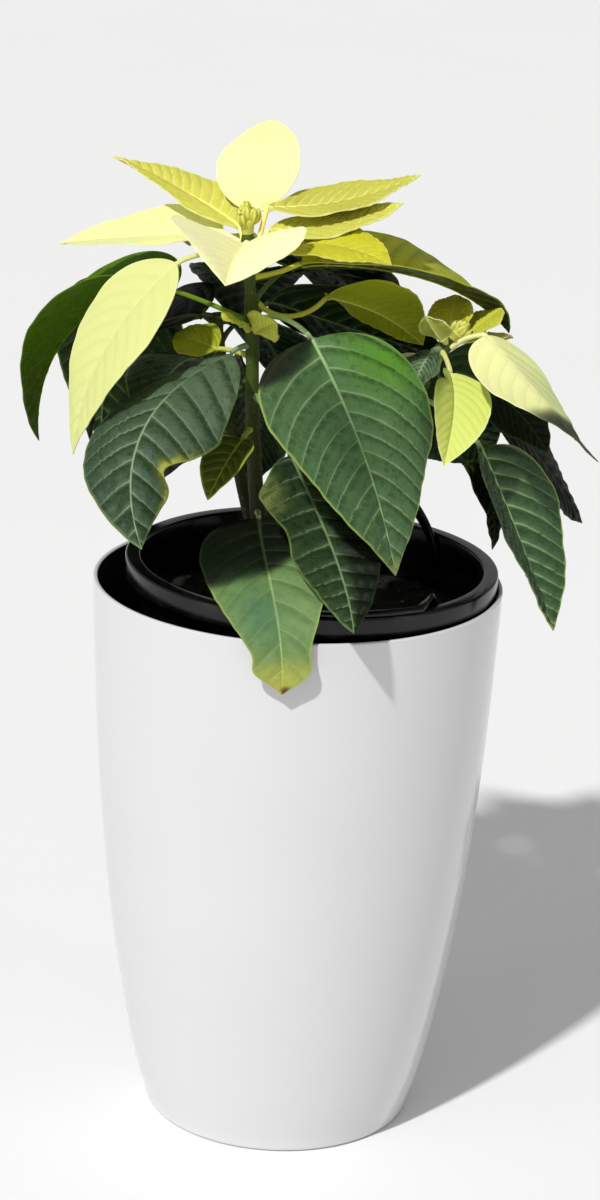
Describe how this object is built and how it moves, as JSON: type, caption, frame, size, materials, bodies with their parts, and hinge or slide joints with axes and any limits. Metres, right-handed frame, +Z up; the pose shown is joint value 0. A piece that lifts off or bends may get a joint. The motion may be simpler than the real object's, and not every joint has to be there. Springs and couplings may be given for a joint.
{
  "type": "potted poinsettia",
  "caption": "Young poinsettia with cream-yellow bracts over dark green leaves, in a black insert pot with strap handles that stands in a tall glossy white planter.",
  "frame": {"origin": "middle of the planter's flat foot, on the surface that it stands on", "axes": "+Z up along the planter, -Y the plant's front, +X to its right seen from the front"},
  "size_m": [0.2817, 0.256, 0.4925],
  "materials": {
    "planter": "glossy white",
    "insert_pot": "satin black moulded plastic",
    "soil": "moist crumbly peat",
    "stem": "green-brown young wood",
    "leaf": "satin dark green with pale veins",
    "young_leaf": "satin olive green with pale veins",
    "bract": "soft cream-yellow with faint veins",
    "flower": "waxy yellow-green"
  },
  "bodies": {
    "root": {"planter": "planter", "liner": "insert_pot", "handle_back": "insert_pot", "handle_front": "insert_pot", "soil": "soil", "stems": "stem", "cyathia_top": "flower", "cyathia_right": "flower", "bract_hanging": "bract", "bract_right_hanging": "bract", "bract_right_long": "bract", "bract_right_olive": "bract", "bract_right_olive_far": "bract", "bract_right_rear": "bract", "bract_right_rear_left": "bract", "bract_right_small": "bract", "bract_top_back": "bract", "bract_top_front": "bract", "bract_top_left": "bract", "bract_top_left_upper": "bract", "bract_top_rear_left": "bract", "bract_top_rear_right": "bract", "bract_top_right": "bract", "bract_top_right_upper": "bract", "bract_top_shaded": "bract", "leaf_arch": "young_leaf", "leaf_back_far_left": "leaf", "leaf_back_inner": "leaf", "leaf_back_left": "leaf", "leaf_back_low": "leaf", "leaf_back_middle": "leaf", "leaf_back_right": "leaf", "leaf_back_top": "leaf", "leaf_back_wide": "leaf", "leaf_far_left": "leaf", "leaf_front": "leaf", "leaf_grey": "leaf", "leaf_left": "leaf", "leaf_left_dark": "leaf", "leaf_low": "leaf", "leaf_olive": "young_leaf", "leaf_right": "leaf", "leaf_right_dark": "leaf", "leaf_right_thin": "leaf", "leaf_right_under": "leaf", "leaf_rim": "young_leaf", "leaf_side_left": "leaf", "leaf_side_right": "leaf", "leaf_side_under": "leaf", "leaf_small_low": "young_leaf", "shoot_left": "young_leaf", "shoot_mid": "young_leaf", "shoot_right": "young_leaf"}
  },
  "joints": []
}
